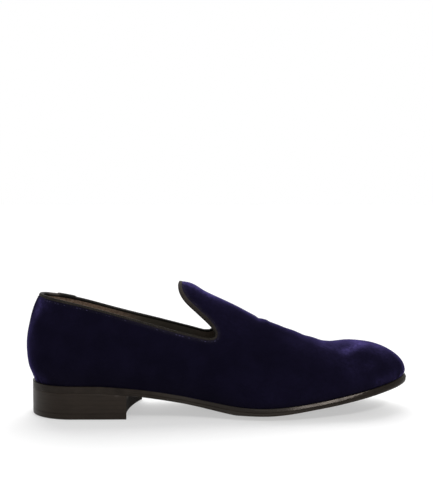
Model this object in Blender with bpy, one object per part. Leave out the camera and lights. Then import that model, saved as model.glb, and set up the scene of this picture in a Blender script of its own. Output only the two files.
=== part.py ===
"""Closed-back velvet house slipper for the right foot, standing empty on its sole.

+X points to the toe, +Y to the big-toe side and +Z up. The floor is z = 0. Sizes are in millimetres.
"""

import math
from collections import namedtuple

import bmesh
import bpy
from mathutils import Vector

MM = 0.001
SIDES = {"lateral": -1, "medial": 1}

# Driving sizes of the last: where its heel and toe are rounded, and how high its edges stand
HEEL_ROUND_X = -112.0
TOE_ROUND_X = 100.0
NOSE_ROUND_X = 118.0
NOSE_X = 149.1
NOSE_Z = 29.5
NOSE_UNDERCUT = 1.5
TAB_TIP_X = -31.6
THROAT_FILLET = 11.0

# Thicknesses and clearances
WALL = 2.2
BINDING_WIDTH = 2.8
BINDING_PROUD = 0.45
BINDING_FACETS = 8
BINDING_SQUARENESS = 0.6
INSOLE_THICKNESS = 2.5
INSOLE_INSET = 3.3
SEAM_GAP = 0.3
BINDING_GAP = 0.45
WELD = 1e-6

# Heel block
BREAST_X = {"lateral": -72.5, "medial": -62.0}
BREAST_HOLLOW = 4.3
BREAST_STEPS = 10
BREAST_LAST_STEP = 2.0
HEEL_CENTRE_X = -107.0
HEEL_INSET = 0.3
HEEL_EDGE_BEVEL = 0.8

# Sole: share of the half-width that stays flat underneath, how far the top dips, where its centre line runs
TREAD_FLAT_SHARE = 0.5
FOOTBED_DISH = 1.5
SPINE_X = (-118.0, 112.0)

# Mesh resolution
COLUMNS_PER_SIDE = 40
THROAT_COLUMN = 22
THROAT_CROWDING = 0.8
JUST_BELOW_RIM = 0.96
UPPER_ROWS = 16
ROW_CROWDING = 1.5
LINE_STEPS = 240

# A row for each section of the shoe, heel to toe. lateral and medial are half-widths at the fullest,
# seam is the height where upper meets sole, ridge the height of the top line (behind the tab, where the
# shoe is open, the height that the side walls lean towards), fullness the squareness of the section, lean
# the shift of the ridge to the big-toe side, tuck the share by which the upper narrows into the seam over
# tuck_height, welt the sole's margin round the upper, edge its thickness and crown its rounding underneath.
Section = namedtuple(
    "Section", "x lateral medial seam ridge fullness lean tuck tuck_height welt edge crown"
)
SECTIONS = (
    Section(-150, 31.5, 32.5, 25.6, 107.0, 2.3, 0.0, 0.07, 25, 2.0, 4.6, 0.0),
    Section(-112, 32.3, 32.8, 25.3, 104.5, 2.2, 0.0, 0.07, 25, 1.7, 4.9, 0.0),
    Section(-90, 33.8, 32.3, 25.0, 101.5, 2.0, 0.0, 0.07, 25, 1.6, 5.2, 0.0),
    Section(-60, 35.0, 31.0, 22.2, 99.5, 1.8, 0.5, 0.07, 24, 1.5, 5.4, 0.0),
    Section(-32, 34.5, 29.8, 17.4, 100.9, 1.7, 1.5, 0.07, 22, 1.4, 5.3, 1.1),
    Section(-20, 35.3, 30.6, 14.9, 97.5, 1.65, 2.5, 0.07, 20, 1.4, 5.2, 2.0),
    Section(-10, 37.0, 32.5, 13.0, 92.0, 1.6, 3.0, 0.065, 19, 1.5, 5.1, 3.2),
    Section(12, 42.2, 38.5, 9.8, 81.5, 1.6, 3.5, 0.045, 16, 2.0, 5.2, 4.5),
    Section(30, 45.8, 43.3, 9.3, 72.0, 1.6, 3.5, 0.035, 14, 2.3, 5.1, 4.2),
    Section(48, 47.0, 46.6, 10.6, 64.3, 1.65, 3.0, 0.03, 14, 2.4, 4.9, 4.4),
    Section(67, 45.5, 47.0, 12.9, 57.3, 1.75, 2.5, 0.03, 14, 2.4, 4.7, 4.0),
    Section(87, 42.0, 44.4, 15.9, 51.4, 1.9, 2.0, 0.03, 13, 2.4, 5.1, 3.0),
    Section(106, 38.0, 40.3, 19.1, 52.4, 2.1, 1.5, 0.035, 12, 2.4, 5.2, 1.9),
    Section(125, 34.0, 36.0, 22.2, 50.4, 2.2, 1.0, 0.04, 11, 2.4, 5.3, 0.8),
    Section(150, 30.5, 32.5, 27.0, 46.8, 2.3, 0.0, 0.05, 10, 2.5, 6.0, 0.0),
)

# Back of the heel, from seam to collar: z, x
BACK_LINE = ((25, -144.2), (30, -146.3), (38, -149.2), (50, -150.5), (60, -150.1), (70, -148.2), (80, -145.7),
             (88, -142.5), (93, -139.3))
# Collar from the back to the throat: x, z
QUARTER_LINE = ((-139.3, 93.0), (-107, 85.8), (-76, 77.5), (-38, 66.7), (-14, 60.6), (-2, 58.6))
# How much lower the collar runs on the medial side: x, drop
MEDIAL_DROP = ((-139.3, 0.0), (-107, 0.6), (-86, 1.0), (-71, 0.95), (-47, 0.3), (-24, 0.4), (-10, 1.2),
               (-2, 1.4))
# Edge of the tab from the throat up to its tip: z, x
TAB_LINE = ((56, 0.5), (62, -3.5), (70, -9.8), (78, -18.5), (86, -27.2), (92, -31.2), (97, -32.3),
            (100.4, TAB_TIP_X))
# Edge of the sole, top to bottom: share of its thickness, distance in from its outline
SOLE_EDGE = ((0.0, 0.8), (0.14, 0.15), (0.34, 0.0), (0.48, 0.3), (0.52, 0.75), (0.58, 0.4), (0.82, 0.35),
             (1.0, 1.1))


def curve_through(rows, at):
    """Height at a place on a smooth curve through (place, height) rows, held level past its ends."""
    if at <= rows[0][0]:
        return rows[0][1]
    if at >= rows[-1][0]:
        return rows[-1][1]
    last = len(rows) - 1
    i = next(k for k in range(last) if at <= rows[k + 1][0])
    span = rows[i + 1][0] - rows[i][0]

    def slope(k):
        low, high = max(k - 1, 0), min(k + 1, last)
        return (rows[high][1] - rows[low][1]) / (rows[high][0] - rows[low][0])

    u = (at - rows[i][0]) / span
    return (
        rows[i][1] * (2 * u**3 - 3 * u**2 + 1)
        + rows[i + 1][1] * (3 * u**2 - 2 * u**3)
        + slope(i) * span * (u**3 - 2 * u**2 + u)
        + slope(i + 1) * span * (u**3 - u**2)
    )


def along(column, x):
    return curve_through([(row.x, getattr(row, column)) for row in SECTIONS], x)


def round_off(distance, radius):
    """Half an ellipse: 1 at no distance, 0 at the radius."""
    return math.sqrt(max(0.0, 1 - (max(0.0, distance) / radius) ** 2))


def blend(a, b, share):
    return a + (b - a) * share


# The last, as a height line over the foot and a half-width at every place on its side view
def ridge_height(x):
    closing = round_off(x - NOSE_ROUND_X, NOSE_X - NOSE_ROUND_X)
    return NOSE_Z + (along("ridge", x) - NOSE_Z) * closing


def toe_front(lift):
    """Front of the toe at a height over the seam: furthest forward at the nose, drawn in below it."""
    return NOSE_X - NOSE_UNDERCUT * max(0.0, 1 - lift / (NOSE_Z - SECTIONS[-1].seam)) ** 2


def rise_share(x, z):
    seam = along("seam", x)
    return min(1.0, max(0.0, (z - seam) / max(ridge_height(x) - seam, 1e-6)))


def half_width(x, z, side):
    section = math.sqrt(1 - rise_share(x, z) ** along("fullness", x))
    tuck = 1 - along("tuck", x) * max(0.0, 1 - (z - along("seam", x)) / along("tuck_height", x)) ** 2
    heel = round_off(HEEL_ROUND_X - x, HEEL_ROUND_X - curve_through(BACK_LINE, z))
    toe = round_off(x - TOE_ROUND_X, toe_front(z - along("seam", x)) - TOE_ROUND_X)
    return along(side, x) * section * tuck * heel * toe


def last_point(place, side, on_middle):
    x, z = place
    width = 0.0 if on_middle else half_width(x, z, side)
    return Vector((x, SIDES[side] * width + along("lean", x) * rise_share(x, z), z))


# Lines of the side view, walked by share of their length
def walk(points):
    lengths = [0.0]
    for a, b in zip(points, points[1:]):
        lengths.append(lengths[-1] + (b - a).length)

    def at(share):
        goal = share * lengths[-1]
        i = next((k for k in range(len(points) - 2) if goal <= lengths[k + 1]), len(points) - 2)
        return points[i].lerp(points[i + 1], (goal - lengths[i]) / (lengths[i + 1] - lengths[i]))

    return at


def steps(low, high):
    return [blend(low, high, k / LINE_STEPS) for k in range(LINE_STEPS + 1)]


def collar_halves(side):
    """The collar from back to throat and from throat to the tab's tip, rounded where they meet."""

    def quarter_z(x):
        drop = curve_through(MEDIAL_DROP, x) if side == "medial" else 0.0
        return curve_through(QUARTER_LINE, x) - drop

    corner_z = quarter_z(QUARTER_LINE[-1][0])
    corner = Vector((curve_through(TAB_LINE, corner_z), corner_z))
    quarter = [Vector((x, quarter_z(x))) for x in steps(QUARTER_LINE[0][0], corner.x)]
    tab = [Vector((curve_through(TAB_LINE, z), z)) for z in steps(corner.y, TAB_LINE[-1][0])]
    before = [p for p in quarter if (p - corner).length > THROAT_FILLET]
    after = [p for p in tab if (p - corner).length > THROAT_FILLET]
    fillet = [before[-1].lerp(corner, u).lerp(corner.lerp(after[0], u), u) for u in steps(0.0, 1.0)]
    middle = len(fillet) // 2
    return walk(before + fillet[1 : middle + 1]), walk(fillet[middle:-1] + after)


def spread(share):
    """Steps that shrink towards both ends, where a rounded outline turns fastest."""
    return (1 - math.cos(math.pi * share)) / 2


def seam_place(column):
    low = curve_through(BACK_LINE, SECTIONS[0].seam)
    x = blend(low, toe_front(0.0), spread(column / COLUMNS_PER_SIDE))
    return Vector((x, along("seam", x)))


def collar_place(column, halves):
    """The collar's columns crowd towards its middle at back and tab, and a little less at the throat."""
    if column <= THROAT_COLUMN:
        share = column / THROAT_COLUMN
        return halves[0](blend(2 * spread(share / 2), spread(share), THROAT_CROWDING))
    share = (COLUMNS_PER_SIDE - column) / (COLUMNS_PER_SIDE - THROAT_COLUMN)
    return halves[1](1 - blend(2 * spread(share / 2), spread(share), THROAT_CROWDING))


def ridge_line(tip):
    seam = seam_place(COLUMNS_PER_SIDE).y
    toe = [Vector((toe_front(z - seam), z)) for z in steps(seam, NOSE_Z)]
    places = [blend(NOSE_X, tip.x, 1 - math.cos(u)) for u in steps(0.0, math.pi / 2)[1:]]
    return walk(toe + [Vector((x, ridge_height(x))) for x in places])


def side_grid(edge, side, shares):
    """Points of the last from the seam to an upper edge: a row of columns for each share of the way up."""
    ridge = ridge_line(edge[-1])
    low, high = seam_place(0), seam_place(COLUMNS_PER_SIDE)
    rows = []
    for t in shares:
        back_z = blend(low.y, edge[0].y, t)
        back = Vector((curve_through(BACK_LINE, back_z), back_z))
        front = ridge(t)
        row = []
        for column in range(COLUMNS_PER_SIDE + 1):
            seam, top = seam_place(column), edge[column]
            # The square keeps the ridge's dip from folding the rows below the collar
            s = ((seam.x - low.x) / (high.x - low.x)) ** 2
            corners = low.lerp(high, s).lerp(edge[0].lerp(edge[-1], s), t)
            place = seam.lerp(top, t) + back.lerp(front, s) - corners
            row.append(last_point(place, side, column in (0, COLUMNS_PER_SIDE)))
        rows.append(row)
    return rows


def collar_edge(side, inset):
    """The collar moved down the surface by an inset, as side-view places."""
    halves = collar_halves(side)
    edge = [collar_place(column, halves) for column in range(COLUMNS_PER_SIDE + 1)]
    if inset == 0:
        return edge
    below, rim = side_grid(edge, side, (JUST_BELOW_RIM, 1.0))
    moved = []
    for column, point in enumerate(rim):
        before, after = rim[max(column - 1, 0)], rim[min(column + 1, COLUMNS_PER_SIDE)]
        down = below[column] - point
        if column in (0, COLUMNS_PER_SIDE):
            tangent = Vector((0, 1, 0))
        else:
            tangent = (after - before).normalized()
        inward = (down - down.dot(tangent) * tangent).normalized()
        place = point + inward * inset
        moved.append(Vector((place.x, place.z)))
    moved[0].x = curve_through(BACK_LINE, moved[0].y)
    moved[-1].y = ridge_height(moved[-1].x)
    return moved


def ring_of(lateral, medial):
    """One closed loop: along the lateral side to the toe and back along the medial side."""
    return lateral + medial[-2:0:-1]


# Flat outlines, as closed loops of places in plan
def seam_loop():
    rows = []
    for side in SIDES:
        row = []
        for column in range(COLUMNS_PER_SIDE + 1):
            x, z = seam_place(column)
            width = 0.0 if column in (0, COLUMNS_PER_SIDE) else half_width(x, z, side)
            row.append(Vector((x, SIDES[side] * width)))
        rows.append(row)
    return ring_of(*rows)


def moved_loop(loop, distance):
    """A loop that runs anticlockwise, moved outwards by distance(x)."""
    moved = []
    for i, point in enumerate(loop):
        run = (loop[(i + 1) % len(loop)] - loop[i - 1]).normalized()
        moved.append(point + Vector((run.y, -run.x)) * distance(point.x))
    return moved


def spine_loop(seam):
    """The middle of the seam's loop: the same places for both sides, which meet there."""
    return [Vector((min(max(p.x, SPINE_X[0]), SPINE_X[1]), 0.0)) for p in seam]


def plate_ring(spine, loop, share, height):
    """A loop drawn in towards its spine by a share, at the height that height(x, share) gives."""
    places = [a.lerp(b, share) for a, b in zip(spine, loop)]
    return [Vector((p.x, p.y, height(p.x, share))) for p in places]


def sole_top(x, share):
    return along("seam", x) - SEAM_GAP - FOOTBED_DISH * (1 - share**2)


def sole_edge_low(x):
    return along("seam", x) - SEAM_GAP - along("edge", x)


def sole_bottom(x, share):
    centre = max(0.0, sole_edge_low(x) - along("crown", x))
    lift = max(0.0, (share - TREAD_FLAT_SHARE) / (1 - TREAD_FLAT_SHARE)) ** 2
    return max(0.0, blend(centre, sole_edge_low(x), lift))


# Objects
def material(name, colour, roughness):
    made = bpy.data.materials.new(name)
    made.use_nodes = True
    shader = made.node_tree.nodes["Principled BSDF"]
    shader.inputs["Base Color"].default_value = (*colour, 1)
    shader.inputs["Roughness"].default_value = roughness
    shader.inputs["Metallic"].default_value = 0
    return made


def loft(name, rings, parts, parent, finish):
    """A grid wrapped into rings that run anticlockwise, in the order that leaves the outside to the right."""
    columns, rows = len(rings[0]), len(rings) - 1
    bm = bmesh.new()
    bmesh.ops.create_grid(bm, x_segments=columns, y_segments=rows, size=0.5)
    for vert in bm.verts:
        column = round((vert.co.x + 0.5) * columns) % columns
        row = round((vert.co.y + 0.5) * rows)
        vert.co = rings[row][column] * MM
    bmesh.ops.remove_doubles(bm, verts=bm.verts, dist=WELD)
    mesh = bpy.data.meshes.new(name)
    bm.to_mesh(mesh)
    bm.free()
    mesh.materials.append(finish)
    made = bpy.data.objects.new(name, mesh)
    parts.objects.link(made)
    made.parent = parent
    return made


def outward(ring, column, up):
    """Direction out of the shoe at one column of a ring, from its neighbours and the way up the surface."""
    run = ring[(column + 1) % len(ring)] - ring[column - 1]
    return run.cross(up).normalized()


def lining_rings(rings, rim):
    """The rings moved in by the wall, with the lowest kept level so that it stands on the sole."""
    moved = []
    for row, ring in enumerate(rings):
        below = rings[row - 1] if 0 < row < len(rings) - 1 else ring
        above = (rings + [rim])[row + 1]
        inner = []
        for column, point in enumerate(ring):
            out = outward(ring, column, above[column] - below[column])
            if row == 0:
                out = Vector((out.x, out.y, 0)).normalized()
            inner.append(point - out * WALL)
        moved.append(inner)
    return moved


def collar_ring(inset):
    rows = []
    for side in SIDES:
        places = enumerate(collar_edge(side, inset))
        rows.append([last_point(p, side, k in (0, COLUMNS_PER_SIDE)) for k, p in places])
    return ring_of(*rows)


def make_upper(parts, parent):
    shares = [(k / UPPER_ROWS) ** ROW_CROWDING for k in range(UPPER_ROWS + 1)]
    sides = [side_grid(collar_edge(side, BINDING_WIDTH + BINDING_GAP), side, shares) for side in SIDES]
    rings = [ring_of(lateral, medial) for lateral, medial in zip(*sides)]
    around = rings + lining_rings(rings, collar_ring(0.0))[::-1] + rings[:1]
    loft("upper", around, parts, parent, material("velvet", (0.004, 0.0035, 0.009), 0.9))


def make_binding(parts, parent):
    """A bead with a rounded section, folded over the edge and a little proud of the wall on both sides."""
    low, high = collar_ring(BINDING_WIDTH), collar_ring(0.0)
    half_thickness = WALL / 2 + BINDING_PROUD
    around = []
    for k in range(BINDING_FACETS + 1):
        turn = 2 * math.pi * (0.5 - k) / BINDING_FACETS
        across, along_edge = (
            math.copysign(abs(f(turn)) ** BINDING_SQUARENESS, f(turn)) for f in (math.cos, math.sin)
        )
        ring = []
        for column, (foot, rim) in enumerate(zip(low, high)):
            out = outward(high, column, rim - foot)
            middle = foot.lerp(rim, 0.5) - out * WALL / 2
            ring.append(middle + out * half_thickness * across + (foot - rim) * along_edge / 2)
        around.append(ring)
    loft("topline_binding", around, parts, parent, material("binding", (0.015, 0.014, 0.016), 0.6))


def make_outsole(parts, parent):
    seam = seam_loop()
    outline = moved_loop(seam, lambda x: along("welt", x))
    spine = spine_loop(seam)
    rings = [plate_ring(spine, outline, share, sole_bottom) for share in (0.0, TREAD_FLAT_SHARE, 0.75, 0.9)]
    for depth, inset in SOLE_EDGE[::-1]:
        loop = moved_loop(outline, lambda x: -inset)
        rings.append([Vector((p.x, p.y, blend(sole_top(p.x, 1), sole_edge_low(p.x), depth))) for p in loop])
    rings += [plate_ring(spine, outline, share, sole_top) for share in (0.5, 0.0)]
    loft("outsole", rings, parts, parent, material("sole_leather", (0.045, 0.038, 0.034), 0.45))
    return outline


def heel_wall(outline, side):
    """One side of the sole's outline, from the back to the corner of the breast."""
    if side == "lateral":
        places = outline[: COLUMNS_PER_SIDE + 1]
    else:
        places = outline[:1] + outline[: COLUMNS_PER_SIDE - 1 : -1]
    wall = [p for p in places if p.x < BREAST_X[side] - BREAST_LAST_STEP]
    behind, ahead = wall[-1], places[len(wall)]
    return wall + [behind.lerp(ahead, (BREAST_X[side] - behind.x) / (ahead.x - behind.x))]


def make_heel(outline, parts, parent):
    inside = moved_loop(outline, lambda x: -HEEL_INSET)
    lateral, medial = (heel_wall(inside, side) for side in SIDES)
    breast = []
    for k in range(1, BREAST_STEPS):
        share = k / BREAST_STEPS
        hollow = BREAST_HOLLOW * 4 * share * (1 - share)
        breast.append(lateral[-1].lerp(medial[-1], share) - Vector((hollow, 0)))
    loop = lateral + breast + medial[:0:-1]
    bevelled = moved_loop(loop, lambda x: -HEEL_EDGE_BEVEL)
    centre = [Vector((HEEL_CENTRE_X, 0))] * len(loop)

    def top(x, share):
        return sole_bottom(x, 0.0) - SEAM_GAP

    rings = [[p.to_3d() for p in centre], [p.to_3d() for p in bevelled]]
    rings.append([Vector((p.x, p.y, HEEL_EDGE_BEVEL)) for p in loop])
    rings += [plate_ring(centre, loop, share, top) for share in (1.0, 0.75, 0.4, 0.0)]
    loft("heel", rings, parts, parent, material("heel_leather", (0.035, 0.029, 0.026), 0.5))


def make_insole(parts, parent):
    seam = seam_loop()
    outline = moved_loop(seam, lambda x: -INSOLE_INSET)
    spine = spine_loop(seam)

    def low(x, share):
        return sole_top(x, share) + SEAM_GAP

    def high(x, share):
        return low(x, share) + INSOLE_THICKNESS

    rings = [plate_ring(spine, outline, share, low) for share in (0.0, 0.5, 1.0)]
    rings += [plate_ring(spine, outline, share, high) for share in (1.0, 0.5, 0.0)]
    loft("insole", rings, parts, parent, material("insole_leather", (0.06, 0.045, 0.035), 0.6))


def main():
    for old in list(bpy.data.objects):
        bpy.data.objects.remove(old)
    parts = bpy.data.collections.new("velvet_slipper")
    bpy.context.scene.collection.children.link(parts)
    parent = bpy.data.objects.new("right_slipper", None)
    parts.objects.link(parent)
    make_upper(parts, parent)
    make_binding(parts, parent)
    make_insole(parts, parent)
    outline = make_outsole(parts, parent)
    make_heel(outline, parts, parent)


main()
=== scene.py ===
import math

import bmesh
import bpy
import numpy as np
from mathutils import Matrix, Vector
from mathutils.kdtree import KDTree


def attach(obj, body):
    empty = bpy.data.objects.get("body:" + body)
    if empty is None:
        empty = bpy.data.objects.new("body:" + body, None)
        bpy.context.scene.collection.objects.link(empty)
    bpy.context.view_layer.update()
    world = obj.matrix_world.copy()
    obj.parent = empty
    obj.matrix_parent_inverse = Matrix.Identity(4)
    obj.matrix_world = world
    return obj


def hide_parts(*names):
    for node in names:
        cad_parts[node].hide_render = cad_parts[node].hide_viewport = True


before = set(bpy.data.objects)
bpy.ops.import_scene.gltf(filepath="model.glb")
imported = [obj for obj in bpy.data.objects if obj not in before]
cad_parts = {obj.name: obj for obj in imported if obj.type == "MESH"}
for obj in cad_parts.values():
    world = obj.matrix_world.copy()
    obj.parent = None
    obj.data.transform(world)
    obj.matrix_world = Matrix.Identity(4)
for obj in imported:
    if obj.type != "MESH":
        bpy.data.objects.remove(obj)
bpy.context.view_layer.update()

# The studio: a plain pale floor under soft light from all round, with the photograph's own camera.
# The camera faces the slipper's outer side from a little above its top, and looks slightly down.
MM = 0.001
LONG_SIDE_PIXELS = 500
FOCAL_PIXELS = 827
HORIZON_RISE_PIXELS = 48
CAMERA_PLACE = (-47.8, -648.4, 163.0)
CAMERA_TURN_DEG = -4.0
FLOOR_HALF_SIDE = 40.0
FLOOR_DROP = 0.0002
FLOOR_GREY = (0.53, 0.53, 0.53, 1)
FLOOR_GLOW = 0.46
WALL_LIGHT_FRONT = 0.13
WALL_LIGHT_BACK = 0.62
SKY_LIGHT = 3.6
SKY_SPREAD_DEG = 60
SKY_FROM = (0.1, 1.1, 1.0)
TOE_BOX_FROM = (0.78, -1.10, 1.43)
TOE_BOX_AIM = (0.08, -0.045, 0.013)
TOE_BOX_WATTS = 10.0
TOE_BOX_SIZE = (0.9, 0.25)
FRONT_BOX_FROM = (-0.1, -2.2, 0.5)
FRONT_BOX_AIM = (0.0, 0.0, 0.04)
FRONT_BOX_WATTS = 12.0
FRONT_BOX_SIZE = (1.6, 0.8)

scene = bpy.context.scene
scene.view_settings.view_transform = "Standard"
camera = bpy.data.objects.new("camera", bpy.data.cameras.new("camera"))
camera.data.lens = camera.data.sensor_width * FOCAL_PIXELS / LONG_SIDE_PIXELS
camera.location = Vector(CAMERA_PLACE) * MM
look_down = math.atan(HORIZON_RISE_PIXELS / FOCAL_PIXELS)
camera.rotation_euler = (math.pi / 2 - look_down, 0, math.radians(CAMERA_TURN_DEG))
scene.collection.objects.link(camera)
scene.camera = camera


def add(tree, kind, inputs=(), **settings):
    """A shader node with its settings, whose inputs are values or other nodes' outputs."""
    made = tree.nodes.new("ShaderNode" + kind)
    for name, value in settings.items():
        setattr(made, name, value)
    for socket, value in dict(inputs).items():
        if isinstance(value, bpy.types.NodeSocket):
            tree.links.new(value, made.inputs[socket])
        else:
            made.inputs[socket].default_value = value
    return made


def finish(name, **sockets):
    """A new material, its tree and its shader, with the values that are the same all over."""
    made = bpy.data.materials.new(name)
    made.use_nodes = True
    shader = made.node_tree.nodes["Principled BSDF"]
    for socket, value in sockets.items():
        shader.inputs[socket.replace("_", " ")].default_value = value
    return made, made.node_tree, shader


def stretched(tree, value, low, high, to_low=0.0, to_high=1.0, **settings):
    """A value carried from one range to another, and held at the ends."""
    inputs = {"Value": value, "From Min": low, "From Max": high, "To Min": to_low, "To Max": to_high}
    return add(tree, "MapRange", inputs, **settings).outputs[0]


def aimed_light(name, kind, place, aim, **settings):
    lamp = bpy.data.lights.new(name, kind)
    for setting, value in settings.items():
        setattr(lamp, setting, value)
    holder = bpy.data.objects.new(name, lamp)
    holder.location = Vector(place)
    holder.rotation_euler = (Vector(aim) - Vector(place)).to_track_quat("-Z", "Y").to_euler()
    scene.collection.objects.link(holder)


world = bpy.data.worlds.new("studio")
scene.world = world
world.use_nodes = True
backdrop = world.node_tree.nodes["Background"]
seen = add(world.node_tree, "LightPath").outputs["Is Camera Ray"]
towards = add(world.node_tree, "TexCoord").outputs["Generated"]
depth = add(world.node_tree, "SeparateXYZ", {0: towards}).outputs["Y"]
walls = stretched(world.node_tree, depth, -1.0, 1.0, WALL_LIGHT_FRONT, WALL_LIGHT_BACK)
strength = add(world.node_tree, "Mix", {0: seen, 2: walls, 3: 1.0}).outputs[0]
backdrop.inputs["Color"].default_value = (1, 1, 1, 1)
world.node_tree.links.new(strength, backdrop.inputs["Strength"])

aimed_light("sky", "SUN", SKY_FROM, (0, 0, 0), energy=SKY_LIGHT, angle=math.radians(SKY_SPREAD_DEG))
aimed_light("toe_box", "AREA", TOE_BOX_FROM, TOE_BOX_AIM, energy=TOE_BOX_WATTS, shape="RECTANGLE",
            size=TOE_BOX_SIZE[0], size_y=TOE_BOX_SIZE[1])
aimed_light("front_box", "AREA", FRONT_BOX_FROM, FRONT_BOX_AIM, energy=FRONT_BOX_WATTS, shape="RECTANGLE",
            size=FRONT_BOX_SIZE[0], size_y=FRONT_BOX_SIZE[1])

floor_mesh = bpy.data.meshes.new("floor")
bm = bmesh.new()
bmesh.ops.create_grid(bm, x_segments=1, y_segments=1, size=FLOOR_HALF_SIDE,
                      matrix=Matrix.Translation((0, 0, -FLOOR_DROP)))
bm.to_mesh(floor_mesh)
bm.free()
floor_paint = finish("pale_floor", Roughness=0.9, Specular_IOR_Level=0.0, Base_Color=FLOOR_GREY,
                     Emission_Color=(1, 1, 1, 1), Emission_Strength=FLOOR_GLOW)[0]
floor_mesh.materials.append(floor_paint)
floor = bpy.data.objects.new("floor", floor_mesh)
scene.collection.objects.link(floor)

# The insole: a board covered in brown leather, cut to the footprint of the last, the foot form on which
# the slipper is made. The upper is pulled over the last and fixed under the board's edge.
SIDES = {"lateral": -1, "medial": 1}
# The last is a row of sizes for each section, heel to toe: half-widths, the height where upper meets sole,
# the height of the top line, the squareness of the section, the top line's shift to the big-toe side, the
# share by which the upper narrows into the seam and over what height, and the sole's margin, thickness
# and rounding.
LAST_COLUMNS = "x lateral medial seam ridge fullness lean tuck tuck_height welt edge crown".split()
LAST_ROWS = (
    (-150, 31.5, 32.5, 25.6, 107.0, 2.3, 0.0, 0.07, 25, 2.0, 4.6, 0.0),
    (-112, 32.3, 32.8, 25.3, 104.5, 2.2, 0.0, 0.07, 25, 1.7, 4.9, 0.0),
    (-90, 33.8, 32.3, 25.0, 101.5, 2.0, 0.0, 0.07, 25, 1.6, 5.2, 0.0),
    (-60, 35.0, 31.0, 22.2, 99.5, 1.8, 0.5, 0.07, 24, 1.5, 5.4, 0.0),
    (-32, 34.5, 29.8, 17.4, 100.9, 1.7, 1.5, 0.07, 22, 1.4, 5.3, 1.1),
    (-20, 35.3, 30.6, 14.9, 97.5, 1.65, 2.5, 0.07, 20, 1.4, 5.2, 2.0),
    (-10, 37.0, 32.5, 13.0, 92.0, 1.6, 3.0, 0.065, 19, 1.5, 5.1, 3.2),
    (12, 42.2, 38.5, 9.8, 81.5, 1.6, 3.5, 0.045, 16, 2.0, 5.2, 4.5),
    (30, 45.8, 43.3, 9.3, 72.0, 1.6, 3.5, 0.035, 14, 2.3, 5.1, 4.2),
    (48, 47.0, 46.6, 10.6, 64.3, 1.65, 3.0, 0.03, 14, 2.4, 4.9, 4.4),
    (67, 45.5, 47.0, 12.9, 57.3, 1.75, 2.5, 0.03, 14, 2.4, 4.7, 4.0),
    (87, 42.0, 44.4, 15.9, 51.4, 1.9, 2.0, 0.03, 13, 2.4, 5.1, 3.0),
    (106, 38.0, 40.3, 19.1, 52.4, 2.1, 1.5, 0.035, 12, 2.4, 5.2, 1.9),
    (125, 34.0, 36.0, 22.2, 50.4, 2.2, 1.0, 0.04, 11, 2.4, 5.3, 0.8),
    (150, 30.5, 32.5, 27.0, 46.8, 2.3, 0.0, 0.05, 10, 2.5, 6.0, 0.0),
)
LAST = dict(zip(LAST_COLUMNS, np.array(LAST_ROWS).T))
# The middle of the back, seen from the side: height, x
BACK_LINE = ((25, -144.2), (30, -146.3), (38, -149.2), (50, -150.5), (60, -150.1), (70, -148.2),
             (80, -145.7), (88, -142.5), (93, -139.3))
BACK_SEARCH_STEPS = 6
HEEL_ROUND_X = -112.0
TOE_ROUND_X = 100.0
NOSE_ROUND_X = 118.0
NOSE_X = 149.1
NOSE_Z = 29.5
NOSE_UNDERCUT = 1.5
SPINE_X = (-118.0, 112.0)
SEAM_GAP = 0.3
FOOTBED_DISH = 1.5
WELD = 1e-6
GLUE_GAP = 0.05
SHINE_VARIES = 0.1
INSOLE_COLUMNS = 140
INSOLE_THICKNESS = 2.5
INSOLE_INSET = 2.35
INSOLE_EDGE_ROUND = 0.7
INSOLE_SHARES = (0.0, 0.2, 0.4, 0.6, 0.75, 0.86, 0.94)
INSOLE_BROWN = (0.075, 0.047, 0.031, 1)
INSOLE_DARK = (0.032, 0.020, 0.014, 1)


def curve_through(rows, at):
    """Heights at places on a smooth curve through (place, height) rows, held level past its ends."""
    places, heights = np.array(rows, float).T
    slopes = np.diff(heights) / np.diff(places)
    middle = (heights[2:] - heights[:-2]) / (places[2:] - places[:-2])
    slopes = np.concatenate([slopes[:1], middle, slopes[-1:]])
    at = np.clip(at, places[0], places[-1])
    i = np.clip(np.searchsorted(places, at) - 1, 0, len(places) - 2)
    span = places[i + 1] - places[i]
    u = (at - places[i]) / span
    return (
        heights[i] * (2 * u**3 - 3 * u**2 + 1)
        + heights[i + 1] * (3 * u**2 - 2 * u**3)
        + slopes[i] * span * (u**3 - 2 * u**2 + u)
        + slopes[i + 1] * span * (u**3 - u**2)
    )


def along(column, x):
    return curve_through(np.stack([LAST["x"], LAST[column]], axis=1), x)


def blend(a, b, share):
    return a + (b - a) * share


def round_off(distance, radius):
    """Half an ellipse: 1 at no distance, 0 at the radius."""
    return np.sqrt(np.maximum(0.0, 1 - (np.maximum(0.0, distance) / radius) ** 2))


def ridge_height(x):
    return NOSE_Z + (along("ridge", x) - NOSE_Z) * round_off(x - NOSE_ROUND_X, NOSE_X - NOSE_ROUND_X)


def toe_front(lift):
    """Front of the toe at a height over the seam: furthest forward at the nose, drawn in below it."""
    return NOSE_X - NOSE_UNDERCUT * np.maximum(0.0, 1 - lift / (NOSE_Z - LAST["seam"][-1])) ** 2


def rise_share(x, z):
    seam = along("seam", x)
    return np.clip((z - seam) / np.maximum(ridge_height(x) - seam, WELD), 0.0, 1.0)


def half_width(x, z, side):
    section = np.sqrt(1 - rise_share(x, z) ** along("fullness", x))
    lift = z - along("seam", x)
    tuck = 1 - along("tuck", x) * np.maximum(0.0, 1 - lift / along("tuck_height", x)) ** 2
    heel = round_off(HEEL_ROUND_X - x, HEEL_ROUND_X - curve_through(BACK_LINE, z))
    toe = round_off(x - TOE_ROUND_X, toe_front(lift) - TOE_ROUND_X)
    return along(side, x) * section * tuck * heel * toe


def spread(share):
    """Steps that shrink towards both ends, where a rounded outline turns fastest."""
    return (1 - np.cos(np.pi * share)) / 2


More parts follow.
